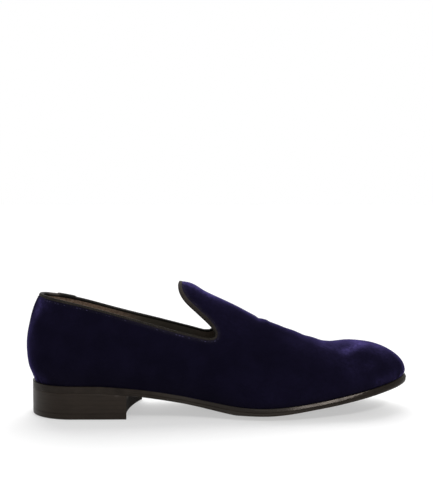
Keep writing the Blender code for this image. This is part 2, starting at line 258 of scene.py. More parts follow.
def seam_places(columns):
    """The side view of the line where upper meets sole, heel to toe: x, z."""
    low = LAST["x"][0]
    for _ in range(BACK_SEARCH_STEPS):
        low = curve_through(BACK_LINE, along("seam", low))
    x = blend(low, toe_front(0.0), spread(np.linspace(0, 1, columns + 1)))
    return np.stack([x, along("seam", x)], axis=1)


def ring_of(lateral, medial):
    """One closed loop: along the lateral side to the toe and back along the medial side."""
    return np.concatenate([lateral, medial[..., -2:0:-1, :]], axis=-2)


def seam_loop(columns):
    rows = []
    for side, sign in SIDES.items():
        x, z = seam_places(columns).T
        width = half_width(x, z, side)
        width[[0, -1]] = 0.0
        rows.append(np.stack([x, sign * width], axis=1))
    return ring_of(*rows)


def moved_loop(loop, distance):
    """A loop in plan that runs anticlockwise, moved outwards."""
    run = np.roll(loop, -1, axis=0) - np.roll(loop, 1, axis=0)
    run /= np.linalg.norm(run, axis=1, keepdims=True)
    return loop + np.stack([run[:, 1], -run[:, 0]], axis=1) * np.reshape(distance, (-1, 1))


def spine_of(loop):
    """The middle line that a loop's two sides meet on."""
    return np.stack([np.clip(loop[:, 0], *SPINE_X), np.zeros(len(loop))], axis=1)


def plate_ring(spine, loop, share, height):
    """A loop drawn in towards its spine by a share, at the height that height(x, share) gives."""
    places = blend(spine, loop, share)
    return np.column_stack([places, height(places[:, 0], share)])


def sole_top(x, share):
    return along("seam", x) - SEAM_GAP - FOOTBED_DISH * (1 - share**2)


def loft(name, rings, paint, stands_for=()):
    """A piece from rings that run anticlockwise, in the order that leaves the outside to the right."""
    columns, rows = len(rings[0]), len(rings) - 1
    bm = bmesh.new()
    bm.loops.layers.uv.new("around")
    bmesh.ops.create_grid(bm, x_segments=columns, y_segments=rows, size=0.5, calc_uvs=True)
    for vert in bm.verts:
        column = round((vert.co.x + 0.5) * columns) % columns
        row = round((vert.co.y + 0.5) * rows)
        vert.co = Vector(rings[row][column]) * MM
    bmesh.ops.remove_doubles(bm, verts=bm.verts, dist=WELD)
    mesh = bpy.data.meshes.new(name)
    bm.to_mesh(mesh)
    bm.free()
    mesh.shade_smooth()
    mesh.materials.append(paint)
    made = bpy.data.objects.new(name, mesh)
    scene.collection.objects.link(made)
    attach(made, "root")
    if stands_for:
        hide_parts(stands_for)
    return made


def blotches(tree, where, scale, detail, roughness=0.5):
    """Cloudy spots, so many to the metre, with finer spots on them."""
    inputs = {"Vector": where, "Scale": scale, "Detail": detail, "Roughness": roughness}
    return add(tree, "TexNoise", inputs).outputs[0]


def sums(tree, kind, *values, **settings):
    return add(tree, "Math", dict(enumerate(values)), operation=kind, **settings).outputs[0]


def mix_tones(tree, share, first, second):
    """A colour between two: the first at no share, the second at a full one."""
    return add(tree, "Mix", {0: share, 6: first, 7: second}, data_type="RGBA").outputs[2]


def read_attribute(tree, name):
    """The values that write_attribute gives to a piece's points, or 0 on a piece without them."""
    return add(tree, "Attribute", attribute_name=name).outputs["Fac"]


def raised(tree, height, strength, distance):
    return add(tree, "Bump", {"Height": height, "Strength": strength, "Distance": distance}).outputs[0]


def dress(tree, shader, **outputs):
    """Gives a shader what varies over the piece."""
    for socket, value in outputs.items():
        tree.links.new(value, shader.inputs[socket.replace("_", " ")])


def leather_paint(name, light, dark, mark_and_painted_light, mottle, pores, grain, roughness, **sockets):
    """Smooth leather: two mottled tones, pores, a shine that follows the mottling, and scuffs, painted shade
    and a painted reflection laid on given places.
    """
    paint, tree, shader = finish(name, **sockets)
    where = add(tree, "TexCoord").outputs["Object"]
    cloud = blotches(tree, where, scale=mottle, detail=6, roughness=0.62)
    pit = add(tree, "TexVoronoi", {"Vector": where, "Scale": pores, "Randomness": 0.95}).outputs["Distance"]
    mottled = mix_tones(tree, stretched(tree, cloud, 0.36, 0.66), dark, light)
    colour = mix_tones(tree, read_attribute(tree, "mark_and_painted_light"), mottled, mark_and_painted_light)
    rough = stretched(tree, cloud, 0.3, 0.7, roughness + SHINE_VARIES, roughness - SHINE_VARIES)
    bump = raised(tree, sums(tree, "ADD", pit, cloud), strength=grain, distance=0.0003)
    dress(tree, shader, Base_Color=colour, Roughness=rough, Normal=bump)
    return paint


footprint = seam_loop(INSOLE_COLUMNS)
insole_edge = moved_loop(footprint, -INSOLE_INSET)
insole_rounded = moved_loop(footprint, -INSOLE_INSET - INSOLE_EDGE_ROUND)
insole_spine = spine_of(footprint)


def insole_low(x, share):
    return sole_top(x, share) + GLUE_GAP


def insole_high(x, share):
    return sole_top(x, share) + SEAM_GAP + INSOLE_THICKNESS


def insole_shoulder(x, share):
    return insole_high(x, share) - INSOLE_EDGE_ROUND


rings = [plate_ring(insole_spine, insole_edge, share, insole_low) for share in INSOLE_SHARES + (1.0,)]
rings.append(plate_ring(insole_spine, insole_edge, 1.0, insole_shoulder))
rings.append(plate_ring(insole_spine, insole_rounded, 1.0, insole_high))
rings += [plate_ring(insole_spine, insole_rounded, share, insole_high) for share in INSOLE_SHARES[::-1]]
insole_paint = leather_paint("insole_leather", INSOLE_BROWN, INSOLE_DARK, mark_and_painted_light=INSOLE_DARK, mottle=90,
                             pores=1300, grain=0.35, roughness=0.5, Specular_IOR_Level=0.35)
loft("leather_insole", rings, insole_paint, "insole")

# The lining: thin brown leather, glued inside the velvet and pulled over the last with it.
# It shows on the far side of the opening, where it is grainy and a little worn, and painted shade runs it
# dark into the toe.
WALL = 2.2
LINING_THICKNESS = 0.9
# The collar, seen from the side: x and height along the quarters, how much lower the inner side runs, and
# height and x up the edge of the tab
QUARTER_LINE = ((-139.3, 93.0), (-107, 85.8), (-76, 77.5), (-38, 66.7), (-14, 60.6), (-2, 58.6))
MEDIAL_DROP = ((-139.3, 0.0), (-107, 0.6), (-86, 1.0), (-71, 0.95), (-47, 0.3), (-24, 0.4), (-10, 1.2),
               (-2, 1.4))
TAB_LINE = ((56, 0.5), (62, -3.5), (70, -9.8), (78, -18.1), (86, -26.6), (92, -30.9), (97, -32.6),
            (100.4, -32.0))
THROAT_FILLET = 11.0
THROAT_AT = 0.55
THROAT_CROWDING = 0.8
JUST_BELOW_RIM = 0.96
END_CROWDING = 0.6
LINE_STEPS = 240
LINING_COLUMNS = 130
LINING_ROWS = 34
LINING_TOP_INSET = 0.9
LINING_BROWN = (0.395, 0.294, 0.222, 1)
LINING_DARK = (0.185, 0.124, 0.086, 1)
# Painted shade darkens it over this stretch, and painted light pales it a little at the throat, where light
# falls in
LINING_SHADE = (0.058, 0.050, 0.038, 1)
LINING_SHADE_X = (-95.0, -56.0)
THROAT_LIGHT = 0.18
THROAT_LIGHT_X = (-26.0, -8.0)


def last_points(x, z, side):
    """Points of the last at places of its side view. The first and last column lie on its middle."""
    width = half_width(x, z, side)
    width[..., [0, -1]] = 0.0
    return np.stack([x, SIDES[side] * width + along("lean", x) * rise_share(x, z), z], axis=-1)


def walk(points, shares):
    """Places on a line at shares of its length."""
    lengths = np.concatenate([[0.0], np.cumsum(np.linalg.norm(np.diff(points, axis=0), axis=1))])
    goals = np.asarray(shares) * lengths[-1]
    return np.stack([np.interp(goals, lengths, points[:, k]) for k in range(points.shape[1])], axis=1)


def collar_halves(side):
    """The collar from back to throat and from throat to the tab's tip, rounded where they meet."""

    def quarter_z(x):
        drop = curve_through(MEDIAL_DROP, x) if side == "medial" else 0.0
        return curve_through(QUARTER_LINE, x) - drop

    corner_z = float(quarter_z(QUARTER_LINE[-1][0]))
    corner = np.array([curve_through(TAB_LINE, corner_z), corner_z])
    quarter_x = np.linspace(QUARTER_LINE[0][0], corner[0], LINE_STEPS + 1)
    tab_z = np.linspace(corner_z, TAB_LINE[-1][0], LINE_STEPS + 1)
    quarter = np.stack([quarter_x, quarter_z(quarter_x)], axis=1)
    tab = np.stack([curve_through(TAB_LINE, tab_z), tab_z], axis=1)
    before = quarter[np.linalg.norm(quarter - corner, axis=1) > THROAT_FILLET]
    after = tab[np.linalg.norm(tab - corner, axis=1) > THROAT_FILLET]
    u = np.linspace(0, 1, LINE_STEPS + 1)[:, None]
    fillet = blend(blend(before[-1], corner, u), blend(corner, after[0], u), u)
    middle = LINE_STEPS // 2
    return np.concatenate([before, fillet[1 : middle + 1]]), np.concatenate([fillet[middle:-1], after])


def collar_places(side, columns):
    """The collar's columns crowd towards its middle at back and tab, and a little less at the throat."""
    first, second = collar_halves(side)
    u = np.linspace(0, 1, columns + 1)
    to_throat = u[u <= THROAT_AT] / THROAT_AT
    to_tip = (1 - u[u > THROAT_AT]) / (1 - THROAT_AT)

    def crowd(share):
        return blend(2 * spread(share / 2), spread(share), THROAT_CROWDING)

    return np.concatenate([walk(first, crowd(to_throat)), walk(second, 1 - crowd(to_tip))])


def ridge_line(tip):
    seam_z = float(along("seam", toe_front(0.0)))
    toe_z = np.linspace(seam_z, NOSE_Z, LINE_STEPS + 1)
    toe = np.stack([toe_front(toe_z - seam_z), toe_z], axis=1)
    x = blend(NOSE_X, tip[0], 1 - np.cos(np.linspace(0, np.pi / 2, LINE_STEPS + 1)[1:]))
    return np.concatenate([toe, np.stack([x, ridge_height(x)], axis=1)])


def side_grid(edge, side, shares):
    """Points of the last from the seam to an upper edge: a row of columns for each share of the way up."""
    seam = seam_places(len(edge) - 1)
    low, high = seam[0], seam[-1]
    t = np.reshape(shares, (-1, 1))
    back_z = blend(low[1], edge[0][1], t)
    back = np.concatenate([curve_through(BACK_LINE, back_z), back_z], axis=1)[:, None]
    front = walk(ridge_line(edge[-1]), t[:, 0])[:, None]
    # The square keeps the ridge's dip from folding the rows below the collar
    s = ((seam[:, 0] - low[0]) / (high[0] - low[0]))[None, :, None] ** 2
    t = t[:, None]
    corners = blend(blend(low, high, s), blend(edge[0], edge[-1], s), t)
    places = blend(seam[None], edge[None], t) + blend(back, front, s) - corners
    return last_points(places[..., 0], places[..., 1], side)


def collar_edge(side, inset, columns):
    """The collar moved down the surface by an inset, as side-view places."""
    edge = collar_places(side, columns)
    inset = np.broadcast_to(inset, columns + 1)[:, None]
    if not inset.any():
        return edge
    below, rim = side_grid(edge, side, (JUST_BELOW_RIM, 1.0))
    tangent = np.gradient(rim, axis=0)
    tangent[[0, -1]] = (0, 1, 0)
    tangent /= np.linalg.norm(tangent, axis=1, keepdims=True)
    down = below - rim
    down -= tangent * (down * tangent).sum(axis=1, keepdims=True)
    down /= np.linalg.norm(down, axis=1, keepdims=True)
    moved = (rim + down * inset)[:, [0, 2]]
    moved[0, 0] = curve_through(BACK_LINE, moved[0, 1])
    moved[-1, 1] = ridge_height(moved[-1, 0])
    return moved


def collar_ring(inset, columns):
    edges = {side: collar_edge(side, inset, columns) for side in SIDES}
    return ring_of(*(last_points(edge[:, 0], edge[:, 1], side) for side, edge in edges.items()))


def upper_rings(inset, columns, shares):
    """Closed rings of the last from the seam up to the collar moved down by an inset."""
    return ring_of(*(side_grid(collar_edge(side, inset, columns), side, shares) for side in SIDES))


def outward(rings, up):
    """Directions out of the shoe at points of rings, from their neighbours and the way up the surface."""
    run = np.roll(rings, -1, axis=-2) - np.roll(rings, 1, axis=-2)
    out = np.cross(run, up)
    return out / np.linalg.norm(out, axis=-1, keepdims=True)


def wall_directions(rings, rim):
    """Outward directions on the whole upper, level along the seam."""
    up = np.gradient(rings, axis=0)
    up[-1] = rim - rings[-1]
    out = outward(rings, up)
    out[0, :, 2] = 0.0
    out[0] /= np.linalg.norm(out[0], axis=-1, keepdims=True)
    return out


def two_end_steps(rows):
    """Shares of the way up, closer together at the seam and the collar."""
    even = np.linspace(0, 1, rows + 1)
    return blend(even, spread(even), END_CROWDING)


def mesh_points(piece):
    """A piece's points in millimetres."""
    places = np.empty(len(piece.data.vertices) * 3, np.float32)
    piece.data.vertices.foreach_get("co", places)
    return places.reshape(-1, 3).astype(float) / MM


def write_attribute(piece, name, values):
    layer = piece.data.attributes.new(name, "FLOAT", "POINT")
    layer.data.foreach_set("value", np.asarray(values, np.float32))


def smooth_step(at, low, high):
    """0 below low, 1 above high, with level ends between."""
    u = np.clip((at - low) / (high - low), 0, 1)
    return u**2 * (3 - 2 * u)


lining_base = upper_rings(LINING_TOP_INSET, LINING_COLUMNS, two_end_steps(LINING_ROWS))
lining_out = wall_directions(lining_base, collar_ring(0, LINING_COLUMNS))
lining_inner = lining_base - lining_out * WALL
lining_outer = lining_base - lining_out * (WALL - LINING_THICKNESS)
lining_paint = leather_paint("lining_leather", LINING_BROWN, LINING_DARK, mark_and_painted_light=LINING_SHADE, mottle=520,
                             pores=1900, grain=0.4, roughness=0.62, Specular_IOR_Level=0.25)
lining = loft("leather_lining", [*lining_outer, *lining_inner[::-1], lining_outer[0]], lining_paint,
              "upper")
lining_x = mesh_points(lining)[:, 0]
throat_light = THROAT_LIGHT * smooth_step(lining_x, *THROAT_LIGHT_X)
# Painted shade towards the toe, less painted light at the throat
write_attribute(lining, "mark_and_painted_light", smooth_step(lining_x, *LINING_SHADE_X) - throat_light)

# The upper: one piece of very dark navy velvet, lasted over the foot form and closed by a seam at the back.
# Wear has left soft creases across the vamp, and stroked nap shows pale violet on the toe and at the heel.
# Painted highlights and shade also lie along the tab's ridge and down the heel's back.
VELVET_COLUMNS = 230
VELVET_ROWS = 84
VELVET_THICKNESS = 1.15
VELVET_TOP_INSET = 1.0
VELVET_HIDDEN_STEP = 6
SEAM_TUCK = 0.6
# How far the binding reaches down the outside, by share of the collar from the back to the tab's tip
BINDING_WIDTHS = ((0.0, 2.8), (0.08, 2.7), (0.25, 2.1), (0.55, 2.2), (0.72, 2.8), (1.0, 2.9))
# The pile is pressed pale below the binding, more towards the throat
HEM_BAND = 1.7
HEM_AT_BACK = 0.3
HEM_GROWS_X = (-100.0, -45.0)
# The tab's full shoulder and the soft creases across the vamp: x on the top line, depth (a ridge where
# negative), half-width along the shoe, reach to each side, and how far the crease bows back at that reach
CREASES = (
    (-22.5, -0.70, 5.5, 10.0, 0.0),
    (32.2, 0.85, 2.2, 13.0, 3.5),
    (37.2, -0.60, 2.6, 15.0, 4.0),
    (47.0, -0.35, 5.0, 17.0, 4.5),
    (59.0, -0.45, 5.0, 18.0, 5.0),
    (69.5, 0.45, 3.6, 20.0, 5.0),
    (76.0, -0.25, 3.6, 20.0, 5.0),
    (87.0, 0.30, 4.5, 24.0, 3.0),
)
# Lasting puckers: small waves above the seam, behind the first end and in front of the second.
# A second, longer wave makes them uneven: its share of their depth, its pitch in theirs, its start (radians).
PUCKER_DEPTH = 0.12
PUCKER_PITCH = 7.0
PUCKER_HEIGHT = 5.0
PUCKER_ENDS = (-118.0, 92.0)
PUCKER_FADE = 15.0
UNEVEN_SHARE = 0.6
UNEVEN_PITCH = 1.7
UNEVEN_START = 1.0
BACK_SEAM_DEPTH = 0.35
BACK_SEAM_HALF_WIDTH = 0.9
# Strokes of turned nap, and of painted highlights and shade: radius, strength (negative darkens), then the
# places that the stroke runs through
NAP_AND_LIGHT_STROKES = (
    (4.0, 0.28, (96.8, -18.9, 46.5), (103.6, -15.2, 48.3), (111.5, -8.6, 50.6)),
    (2.2, 0.06, (95.6, -19.0, 46.5), (99.0, -17.0, 47.6)),
    (5.5, 0.09, (79.6, -12.1, 51.0), (92.0, -13.0, 49.3)),
    (9.0, 0.07, (84.0, -4.0, 51.4), (108.0, -6.0, 51.5)),
    (5.0, 0.17, (110.0, -3.0, 51.8), (118.0, -5.0, 50.6), (125.0, -7.5, 48.0)),
    (6.5, 0.07, (106.0, -12.5, 49.8), (115.7, -13.0, 48.6), (127.0, -14.5, 44.5)),
    (7.0, 0.03, (96.5, -27.0, 41.0), (98.2, -33.0, 34.5)),
    (4.0, 0.03, (111.0, -30.3, 36.7), (115.6, -27.6, 38.5)),
    (12.0, 0.012, (100.0, -24.0, 42.0), (128.0, -22.0, 38.0)),
    (3.8, 0.05, (119.0, -31.2, 24.8), (127.8, -26.7, 25.6), (135.0, -21.5, 28.5)),
    (8.0, 0.012, (131.5, -13.5, 43.0), (138.0, -17.0, 34.0)),
    (8.0, -0.04, (146.5, -10.0, 37.0), (148.6, -4.0, 30.0)),
    (10.0, 0.025, (56.4, -18.7, 54.7), (82.2, -23.2, 45.1)),
    (8.0, -0.12, (38.0, 0.0, 68.5), (48.0, 0.0, 64.5), (60.0, 0.0, 59.8), (74.0, 0.0, 55.0)),
    (16.0, 0.01, (30.0, -44.0, 22.0), (100.0, -36.0, 24.0)),
    # Painted highlights down the heel's back
    (4.2, 0.17, (-138.8, -10.5, 88.3), (-139.8, -13.0, 84.5), (-141.0, -13.5, 80.5)),
    (3.6, 0.10, (-141.0, -13.5, 80.5), (-143.2, -12.5, 74.0), (-146.0, -11.5, 64.0)),
    (4.5, 0.04, (-138.0, -11.0, 88.5), (-133.0, -16.5, 85.5)),
    # Painted shade along the seam at the heel's back
    (3.6, -0.28, (-140.5, -3.0, 89.0), (-144.5, -4.0, 81.0), (-147.3, -4.0, 72.0), (-149.3, -4.0, 62.0)),
    (8.0, -0.04, (-150.0, -4.0, 52.0), (-146.5, -8.0, 30.0)),
    (6.0, 0.042, (-145.3, -15.0, 58.0), (-145.5, -14.5, 52.0), (-145.6, -13.9, 41.0)),
    (12.0, 0.010, (-132.0, -18.0, 82.0), (-115.0, -27.0, 80.0)),
    (4.0, 0.04, (-139.8, -18.4, 31.0), (-135.0, -22.0, 29.0)),
    # Painted highlights along the tab's ridge and down the vamp
    (9.0, 0.15, (-29.0, 1.8, 100.3), (-15.0, 2.7, 95.0), (0.0, 3.2, 87.5)),
    (2.8, 0.30, (-27.5, -2.0, 99.5), (-18.5, -2.2, 95.5)),
    (3.2, 0.20, (-14.0, -2.3, 93.0), (-6.0, -2.6, 88.9)),
    (7.0, 0.07, (0.0, 3.2, 87.5), (30.0, 3.5, 72.0)),
    (24.0, 0.018, (-20.0, -10.0, 88.0), (10.0, -16.0, 72.0)),
)
VELVET_NAVY = (0.0043, 0.0036, 0.0096, 1)
VELVET_NAP_AND_SHEEN = (0.110, 0.086, 0.300, 1)
VELVET_LOW = (0.0032, 0.0029, 0.0045, 1)
VELVET_HEM = (0.0150, 0.0130, 0.0200, 1)
# Painted shade makes the pile darker and greyer near the seam: x, height that this reaches
LOW_HEIGHTS = ((-30, 14.0), (30, 4.0))
# Painted sheen: how far the pile pales where it is seen edge on
PAINTED_RIM_SHEEN = 0.34


def vamp_relief(points):
    """How far the velvet stands out from the last: creases, lasting puckers and the back seam."""
    x, y, z = np.moveaxis(points, -1, 0)
    across = y - along("lean", x)
    relief = np.zeros_like(x)
    for place, depth, half, reach, bow in CREASES:
        away = (x - place + bow * (across / reach) ** 2) / half
        relief -= depth * np.exp(-(away**2)) * np.exp(-((across / reach) ** 2))
    lift = np.maximum(0.0, z - along("seam", x))
    steps = np.linalg.norm(np.diff(points, axis=1, prepend=points[:, :1]), axis=-1)
    turns = 2 * np.pi * np.cumsum(steps, axis=1)[:1] / PUCKER_PITCH
    past_ends = np.maximum(PUCKER_ENDS[0] - x, x - PUCKER_ENDS[1])
    wave = np.sin(turns) + UNEVEN_SHARE * np.sin(turns / UNEVEN_PITCH + UNEVEN_START)
    puckered = np.clip(past_ends / PUCKER_FADE, 0, 1) * np.exp(-((lift / PUCKER_HEIGHT) ** 2))
    relief += PUCKER_DEPTH * puckered * wave
    behind = x < HEEL_ROUND_X
    relief -= BACK_SEAM_DEPTH * behind * np.exp(-((y / BACK_SEAM_HALF_WIDTH) ** 2))
    return relief[..., None]


def near_strokes(points, strokes):
    """How strongly each point is brushed by a list of strokes, each a line of places with a soft radius."""
    total = np.zeros(len(points))
    for radius, strength, *places in strokes:
        nearest = np.full(len(points), np.inf)
        for start, end in zip(np.array(places[:-1]), np.array(places[1:])):
            run = end - start
            share = np.clip((points - start) @ run / (run @ run), 0, 1)
            nearest = np.minimum(nearest, np.linalg.norm(points - start - share[:, None] * run, axis=1))
        total += strength * np.exp(-((nearest / radius) ** 2))
    return total


def velvet_paint():
    """Cut pile: dark where it is looked into, with painted sheen edge on, pale where strokes turn it and
    where they paint highlights, painted shade low down, fine tufts and marks.
    """
    paint, tree, shader = finish("navy_velvet", Roughness=0.95, Specular_IOR_Level=0.0, Sheen_Weight=0.06,
                                 Sheen_Roughness=0.35, Sheen_Tint=(0.40, 0.32, 1.0, 1))
    where = add(tree, "TexCoord").outputs["Object"]
    tufts = blotches(tree, where, scale=1900, detail=3, roughness=0.7)
    marks = blotches(tree, where, scale=60, detail=4, roughness=0.6)
    ragged = blotches(tree, where, scale=400, detail=5, roughness=0.65)
    # Painted sheen where the pile is seen edge on
    facing = add(tree, "LayerWeight", {"Blend": 0.5}).outputs["Facing"]
    rim = stretched(tree, facing, 0.5, 1.0, 0.0, PAINTED_RIM_SHEEN, interpolation_type="SMOOTHSTEP")
    painted_sheen = sums(tree, "MULTIPLY", rim, stretched(tree, marks, 0.36, 0.64, 0.65, 1.25))
    tear = stretched(tree, ragged, 0.36, 0.64, 0.55, 1.35)
    # Turned nap and painted highlights and shade, along the strokes
    nap_and_light = sums(tree, "MULTIPLY", read_attribute(tree, "nap_and_painted_light"), tear)
    faint = stretched(tree, marks, 0.4, 0.7, 0.0, 0.012)
    pale = sums(tree, "ADD", sums(tree, "ADD", nap_and_light, faint), painted_sheen, use_clamp=True)
    # Painted shade near the seam
    low_shade = sums(tree, "MULTIPLY", read_attribute(tree, "low"), marks)
    ground = mix_tones(tree, low_shade, VELVET_NAVY, VELVET_LOW)
    pressed = sums(tree, "MULTIPLY", read_attribute(tree, "hem"), tear, use_clamp=True)
    edged = mix_tones(tree, pressed, ground, VELVET_HEM)
    colour = mix_tones(tree, pale, edged, VELVET_NAP_AND_SHEEN)
    dress(tree, shader, Base_Color=colour, Normal=raised(tree, tufts, strength=0.5, distance=0.0004))
    return paint


velvet_base = upper_rings(VELVET_TOP_INSET, VELVET_COLUMNS, two_end_steps(VELVET_ROWS))
velvet_out = wall_directions(velvet_base, collar_ring(0, VELVET_COLUMNS))
velvet_skin = velvet_base + velvet_out * vamp_relief(velvet_base)
velvet_back = (velvet_base - velvet_out * VELVET_THICKNESS)[::VELVET_HIDDEN_STEP]
velvet_foot = velvet_skin[0] - velvet_out[0] * SEAM_TUCK - np.array([0, 0, SEAM_GAP])
velvet_rings = [velvet_foot, *velvet_skin, *velvet_back[::-1], velvet_foot]
velvet_upper = loft("velvet_upper", velvet_rings, velvet_paint(), "upper")
velvet_points = mesh_points(velvet_upper)
# Turned nap, with painted highlights and shade, along the strokes
write_attribute(velvet_upper, "nap_and_painted_light", near_strokes(velvet_points, NAP_AND_LIGHT_STROKES))
# Painted shade near the seam, strongest at it
lift = np.maximum(0.0, velvet_points[:, 2] - along("seam", velvet_points[:, 0]))
low_height = curve_through(LOW_HEIGHTS, velvet_points[:, 0])
write_attribute(velvet_upper, "low", np.exp(-((lift / low_height) ** 2)))
binding_widths = curve_through(BINDING_WIDTHS, np.linspace(0, 1, VELVET_COLUMNS + 1))
hem_line = collar_ring(binding_widths, VELVET_COLUMNS)
hem_tree = KDTree(len(hem_line))
for index, place in enumerate(hem_line):
    hem_tree.insert(place, index)
hem_tree.balance()
hem_distance = np.array([hem_tree.find(place)[2] for place in velvet_points])
hem_share = blend(HEM_AT_BACK, 1.0, smooth_step(velvet_points[:, 0], *HEM_GROWS_X))
write_attribute(velvet_upper, "hem", hem_share * np.exp(-((hem_distance / HEM_BAND) ** 2)))

# The binding: a narrow charcoal ribbon with fine cross ribs, folded over the raw edge of velvet and lining.
# It runs round the whole collar and the tab, and its ends lap on the inner side near the back.
BINDING_PROUD = 0.45
BINDING_FACETS = 20
BINDING_SQUARENESS = 0.6
BINDING_INNER_SHARE = 0.85
LAP_X = (-128.5, -114.5)
LAP_STEP = 0.8
LAP_RISE = 0.65
LAP_SWELL = 0.3
RIB_PITCH = 0.75
BINDING_CHARCOAL = (0.0350, 0.0295, 0.0250, 1)
BINDING_BLACK = (0.0075, 0.0065, 0.0052, 1)
BINDING_INSIDE_SHADE = (0.0100, 0.0087, 0.0070, 1)
# Distances out from the velvet's face between which the painted shade on the fold's inside gives way to the
# outside
FOLD_DARKENS = (-1.7, 0.3)
BINDING_LIT = (0.075, 0.062, 0.055, 1)
# A pale patch near the lap, painted light on the binding's inner face
BINDING_LIGHT_PATCHES = (
    (2.2, 1.0, (-133.0, 11.0, 91.5), (-128.5, 15.0, 90.3)),
)
# The tab's edge is painted paler too, painted light from above that grows towards its tip: least x, heights
# over which it grows, share at the tip
TAB_LIGHT_FROM_X = -60.0
TAB_LIGHT_Z = (72.0, 101.0)
TAB_LIGHT = 0.38


def ribbon_paint(length):
    """Ribbed ribbon: ribs along the whole collar, darker between them, painted shade inside, and painted
    light where it is pale.
    """
    paint, tree, shader = finish("ribbed_binding", Roughness=0.7, Specular_IOR_Level=0.06)
    around = add(tree, "UVMap", uv_map="around").outputs[0]
    where = add(tree, "TexCoord").outputs["Object"]
    run = add(tree, "SeparateXYZ", {0: around}).outputs["X"]
    rib = sums(tree, "SINE", sums(tree, "MULTIPLY", run, 2 * math.pi * length / RIB_PITCH))
    slub = blotches(tree, where, scale=420, detail=4, roughness=0.6)
    tone = sums(tree, "MULTIPLY", stretched(tree, rib, -1.0, 1.0, 0.3, 1.0), slub)
    woven = mix_tones(tree, stretched(tree, tone, 0.1, 0.55), BINDING_BLACK, BINDING_CHARCOAL)
    inside_shaded = mix_tones(tree, read_attribute(tree, "inside"), woven, BINDING_INSIDE_SHADE)
    colour = mix_tones(tree, read_attribute(tree, "painted_light"), inside_shaded, BINDING_LIT)
    dress(tree, shader, Base_Color=colour, Normal=raised(tree, rib, strength=0.6, distance=0.00008))
    return paint


def bead_rings(feet, rims, out, half_thickness):
    """Rings of a rounded section folded over an edge, proud of the wall and shorter on the inside."""
    rings = []
    middle = rims - out * WALL / 2
    for k in range(BINDING_FACETS + 1):
        turn = 2 * np.pi * (0.5 - k) / BINDING_FACETS
        across, down = (np.copysign(abs(f(turn)) ** BINDING_SQUARENESS, f(turn)) for f in (np.cos, np.sin))
        reach = blend(BINDING_INNER_SHARE, 1.0, (1 + across) / 2) * (1 + down) / 2
        rings.append(middle + out * half_thickness[:, None] * across + (feet - rims) * reach)
    return rings


collar_rim = collar_ring(0, VELVET_COLUMNS)
collar_out = outward(collar_rim, collar_rim - hem_line)
collar_length = np.linalg.norm(np.roll(collar_rim, -1, axis=0) - collar_rim, axis=1).sum()
into_lap = np.minimum(collar_rim[:, 0] - LAP_X[0], LAP_X[1] - collar_rim[:, 0])
lap_rise = np.clip(into_lap / LAP_STEP, 0, 1) * (collar_rim[:, 1] > 0)
lapped_rim = collar_rim + np.array([0, 0, LAP_RISE]) * lap_rise[:, None]
swelling = WALL / 2 + BINDING_PROUD + LAP_SWELL * lap_rise
ribbon = ribbon_paint(float(collar_length))
binding = loft("collar_binding", bead_rings(hem_line, lapped_rim, collar_out, swelling), ribbon,
               "topline_binding")
binding_points = mesh_points(binding)
# Painted light on the binding: the patch near the lap and the tab's edge towards its tip
on_tab = binding_points[:, 0] > TAB_LIGHT_FROM_X
tab_light = TAB_LIGHT * smooth_step(binding_points[:, 2], *TAB_LIGHT_Z) * on_tab
write_attribute(binding, "painted_light", np.clip(near_strokes(binding_points, BINDING_LIGHT_PATCHES) + tab_light, 0, 1))
# Painted shade on the binding's inside
nearest = np.array([hem_tree.find(place)[1] for place in binding_points])
outside = ((binding_points - collar_rim[nearest]) * collar_out[nearest]).sum(axis=1)
write_attribute(binding, "inside", 1 - smooth_step(outside, *FOLD_DARKENS))

# The stitches: a row of navy thread just below the ribbon's lower edge, half sunk in the pile.
# Pile covers most of them, so only some show pale, most of all round the throat.
STITCH_PITCH = 2.5
STITCH_LENGTH = 1.5
STITCH_THICK = 0.6
STITCH_DROP = 1.2
THREAD_PALE = (0.044, 0.038, 0.090, 1)
THREAD_DARK = (0.004, 0.0033, 0.009, 1)
# The pile is thinnest round the throat and thickest along the tab, on both sides
BARE_PILE = (
    (16.0, 0.10, (-40.0, -28.0, 65.0), (-12.0, -27.0, 58.0)),
    (16.0, 0.10, (-40.0, 28.0, 65.0), (-12.0, 27.0, 58.0)),
    (14.0, -0.16, (-31.0, -5.0, 98.0), (-16.0, -18.0, 77.0)),
    (14.0, -0.16, (-31.0, 8.0, 98.0), (-16.0, 22.0, 77.0)),
)


def thread_paint():
    """Thread that looks as dark as the pile where this covers it, in patches, and pale where it is bare."""
    paint, tree, shader = finish("navy_thread", Roughness=0.7, Specular_IOR_Level=0.1)
    where = add(tree, "TexCoord").outputs["Object"]
    bare = sums(tree, "ADD", blotches(tree, where, scale=210, detail=1), read_attribute(tree, "bare"))
    colour = mix_tones(tree, stretched(tree, bare, 0.54, 0.68), THREAD_DARK, THREAD_PALE)
    dress(tree, shader, Base_Color=colour)
    return paint


